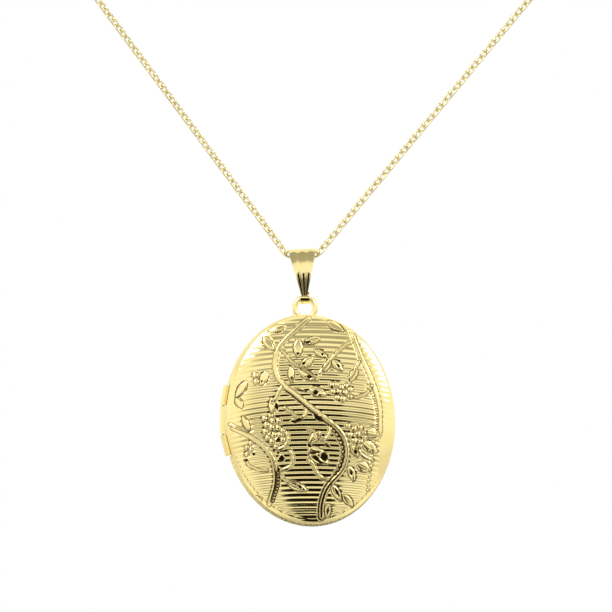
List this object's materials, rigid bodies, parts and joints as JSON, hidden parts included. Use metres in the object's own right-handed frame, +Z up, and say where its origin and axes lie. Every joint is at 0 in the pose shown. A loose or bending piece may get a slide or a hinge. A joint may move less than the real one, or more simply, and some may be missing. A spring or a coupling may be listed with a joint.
{
  "type": "oval photo locket",
  "caption": "Oval photo locket with a hinged embossed front cover, framed photo recesses, top ring, fluted tapered bail, and a cable-link chain ending in a spring-ring clasp and end tag.",
  "frame": {"origin": "middle of the chain where it runs through the bail", "axes": "+Z up along the hanging locket, +X to the right as the front is looked at, front cover towards -Y"},
  "size_m": [0.0974, 0.0072, 0.1103],
  "materials": {
    "polished_gold": "polished pale yellow gold plate",
    "satin_gold": "satin gold plate",
    "hinge_pin_gold": "drawn wire",
    "clear_window": "clear sheet",
    "blank_card": "matt card",
    "spring_steel": "drawn spring wire"
  },
  "bodies": {
    "chain": {"chain_bail_links": "polished_gold", "chain_left_strand": "polished_gold", "chain_right_strand": "polished_gold", "clasp_jump_ring": "polished_gold", "clasp_eye": "polished_gold", "clasp_tube": "polished_gold", "clasp_spring": "spring_steel", "end_jump_ring": "polished_gold", "end_tag": "polished_gold"},
    "clasp_slide": {"clasp_bolt": "polished_gold", "clasp_trigger": "polished_gold"},
    "bail": {"bail_shell": "polished_gold", "bail_eyelet": "polished_gold"},
    "locket_back": {"back_cover": "polished_gold", "back_liner": "satin_gold", "back_photo_frame": "satin_gold", "back_window": "clear_window", "back_photo_card": "blank_card", "catch_band": "polished_gold", "back_hinge_bearer": "polished_gold", "top_ring": "polished_gold", "upper_knuckle": "polished_gold", "lower_knuckle": "polished_gold", "hinge_pin": "hinge_pin_gold"},
    "locket_front": {"front_cover": "polished_gold", "front_liner": "satin_gold", "front_photo_frame": "satin_gold", "front_window": "clear_window", "front_photo_card": "blank_card", "front_hinge_bearer": "polished_gold", "middle_knuckle": "polished_gold"}
  },
  "joints": [
    {"name": "bail_swing", "type": "hinge", "parent": "chain", "child": "bail", "pos_m": [0, 0, 0], "axis": [1, 0, 0], "range_deg": [-75, 75]},
    {"name": "locket_swing", "type": "hinge", "parent": "bail", "child": "locket_back", "pos_m": [0.0006, 0, -0.00805], "axis": [1, 0, 0], "range_deg": [-75, 75]},
    {"name": "cover_hinge", "type": "hinge", "parent": "locket_back", "child": "locket_front", "pos_m": [-0.01514, -0.0006, -0.03152], "axis": [0, 0, -1], "range_deg": [0, 170]},
    {"name": "clasp_trigger_slide", "type": "hinge", "parent": "chain", "child": "clasp_slide", "pos_m": [-0.04388, 0, 0.05552], "axis": [0, -1, 0], "range_deg": [0, 56], "stiffness_Nm_per_rad": 0.002, "springref_deg": -17.19, "deforming": ["clasp_spring"]}
  ]
}
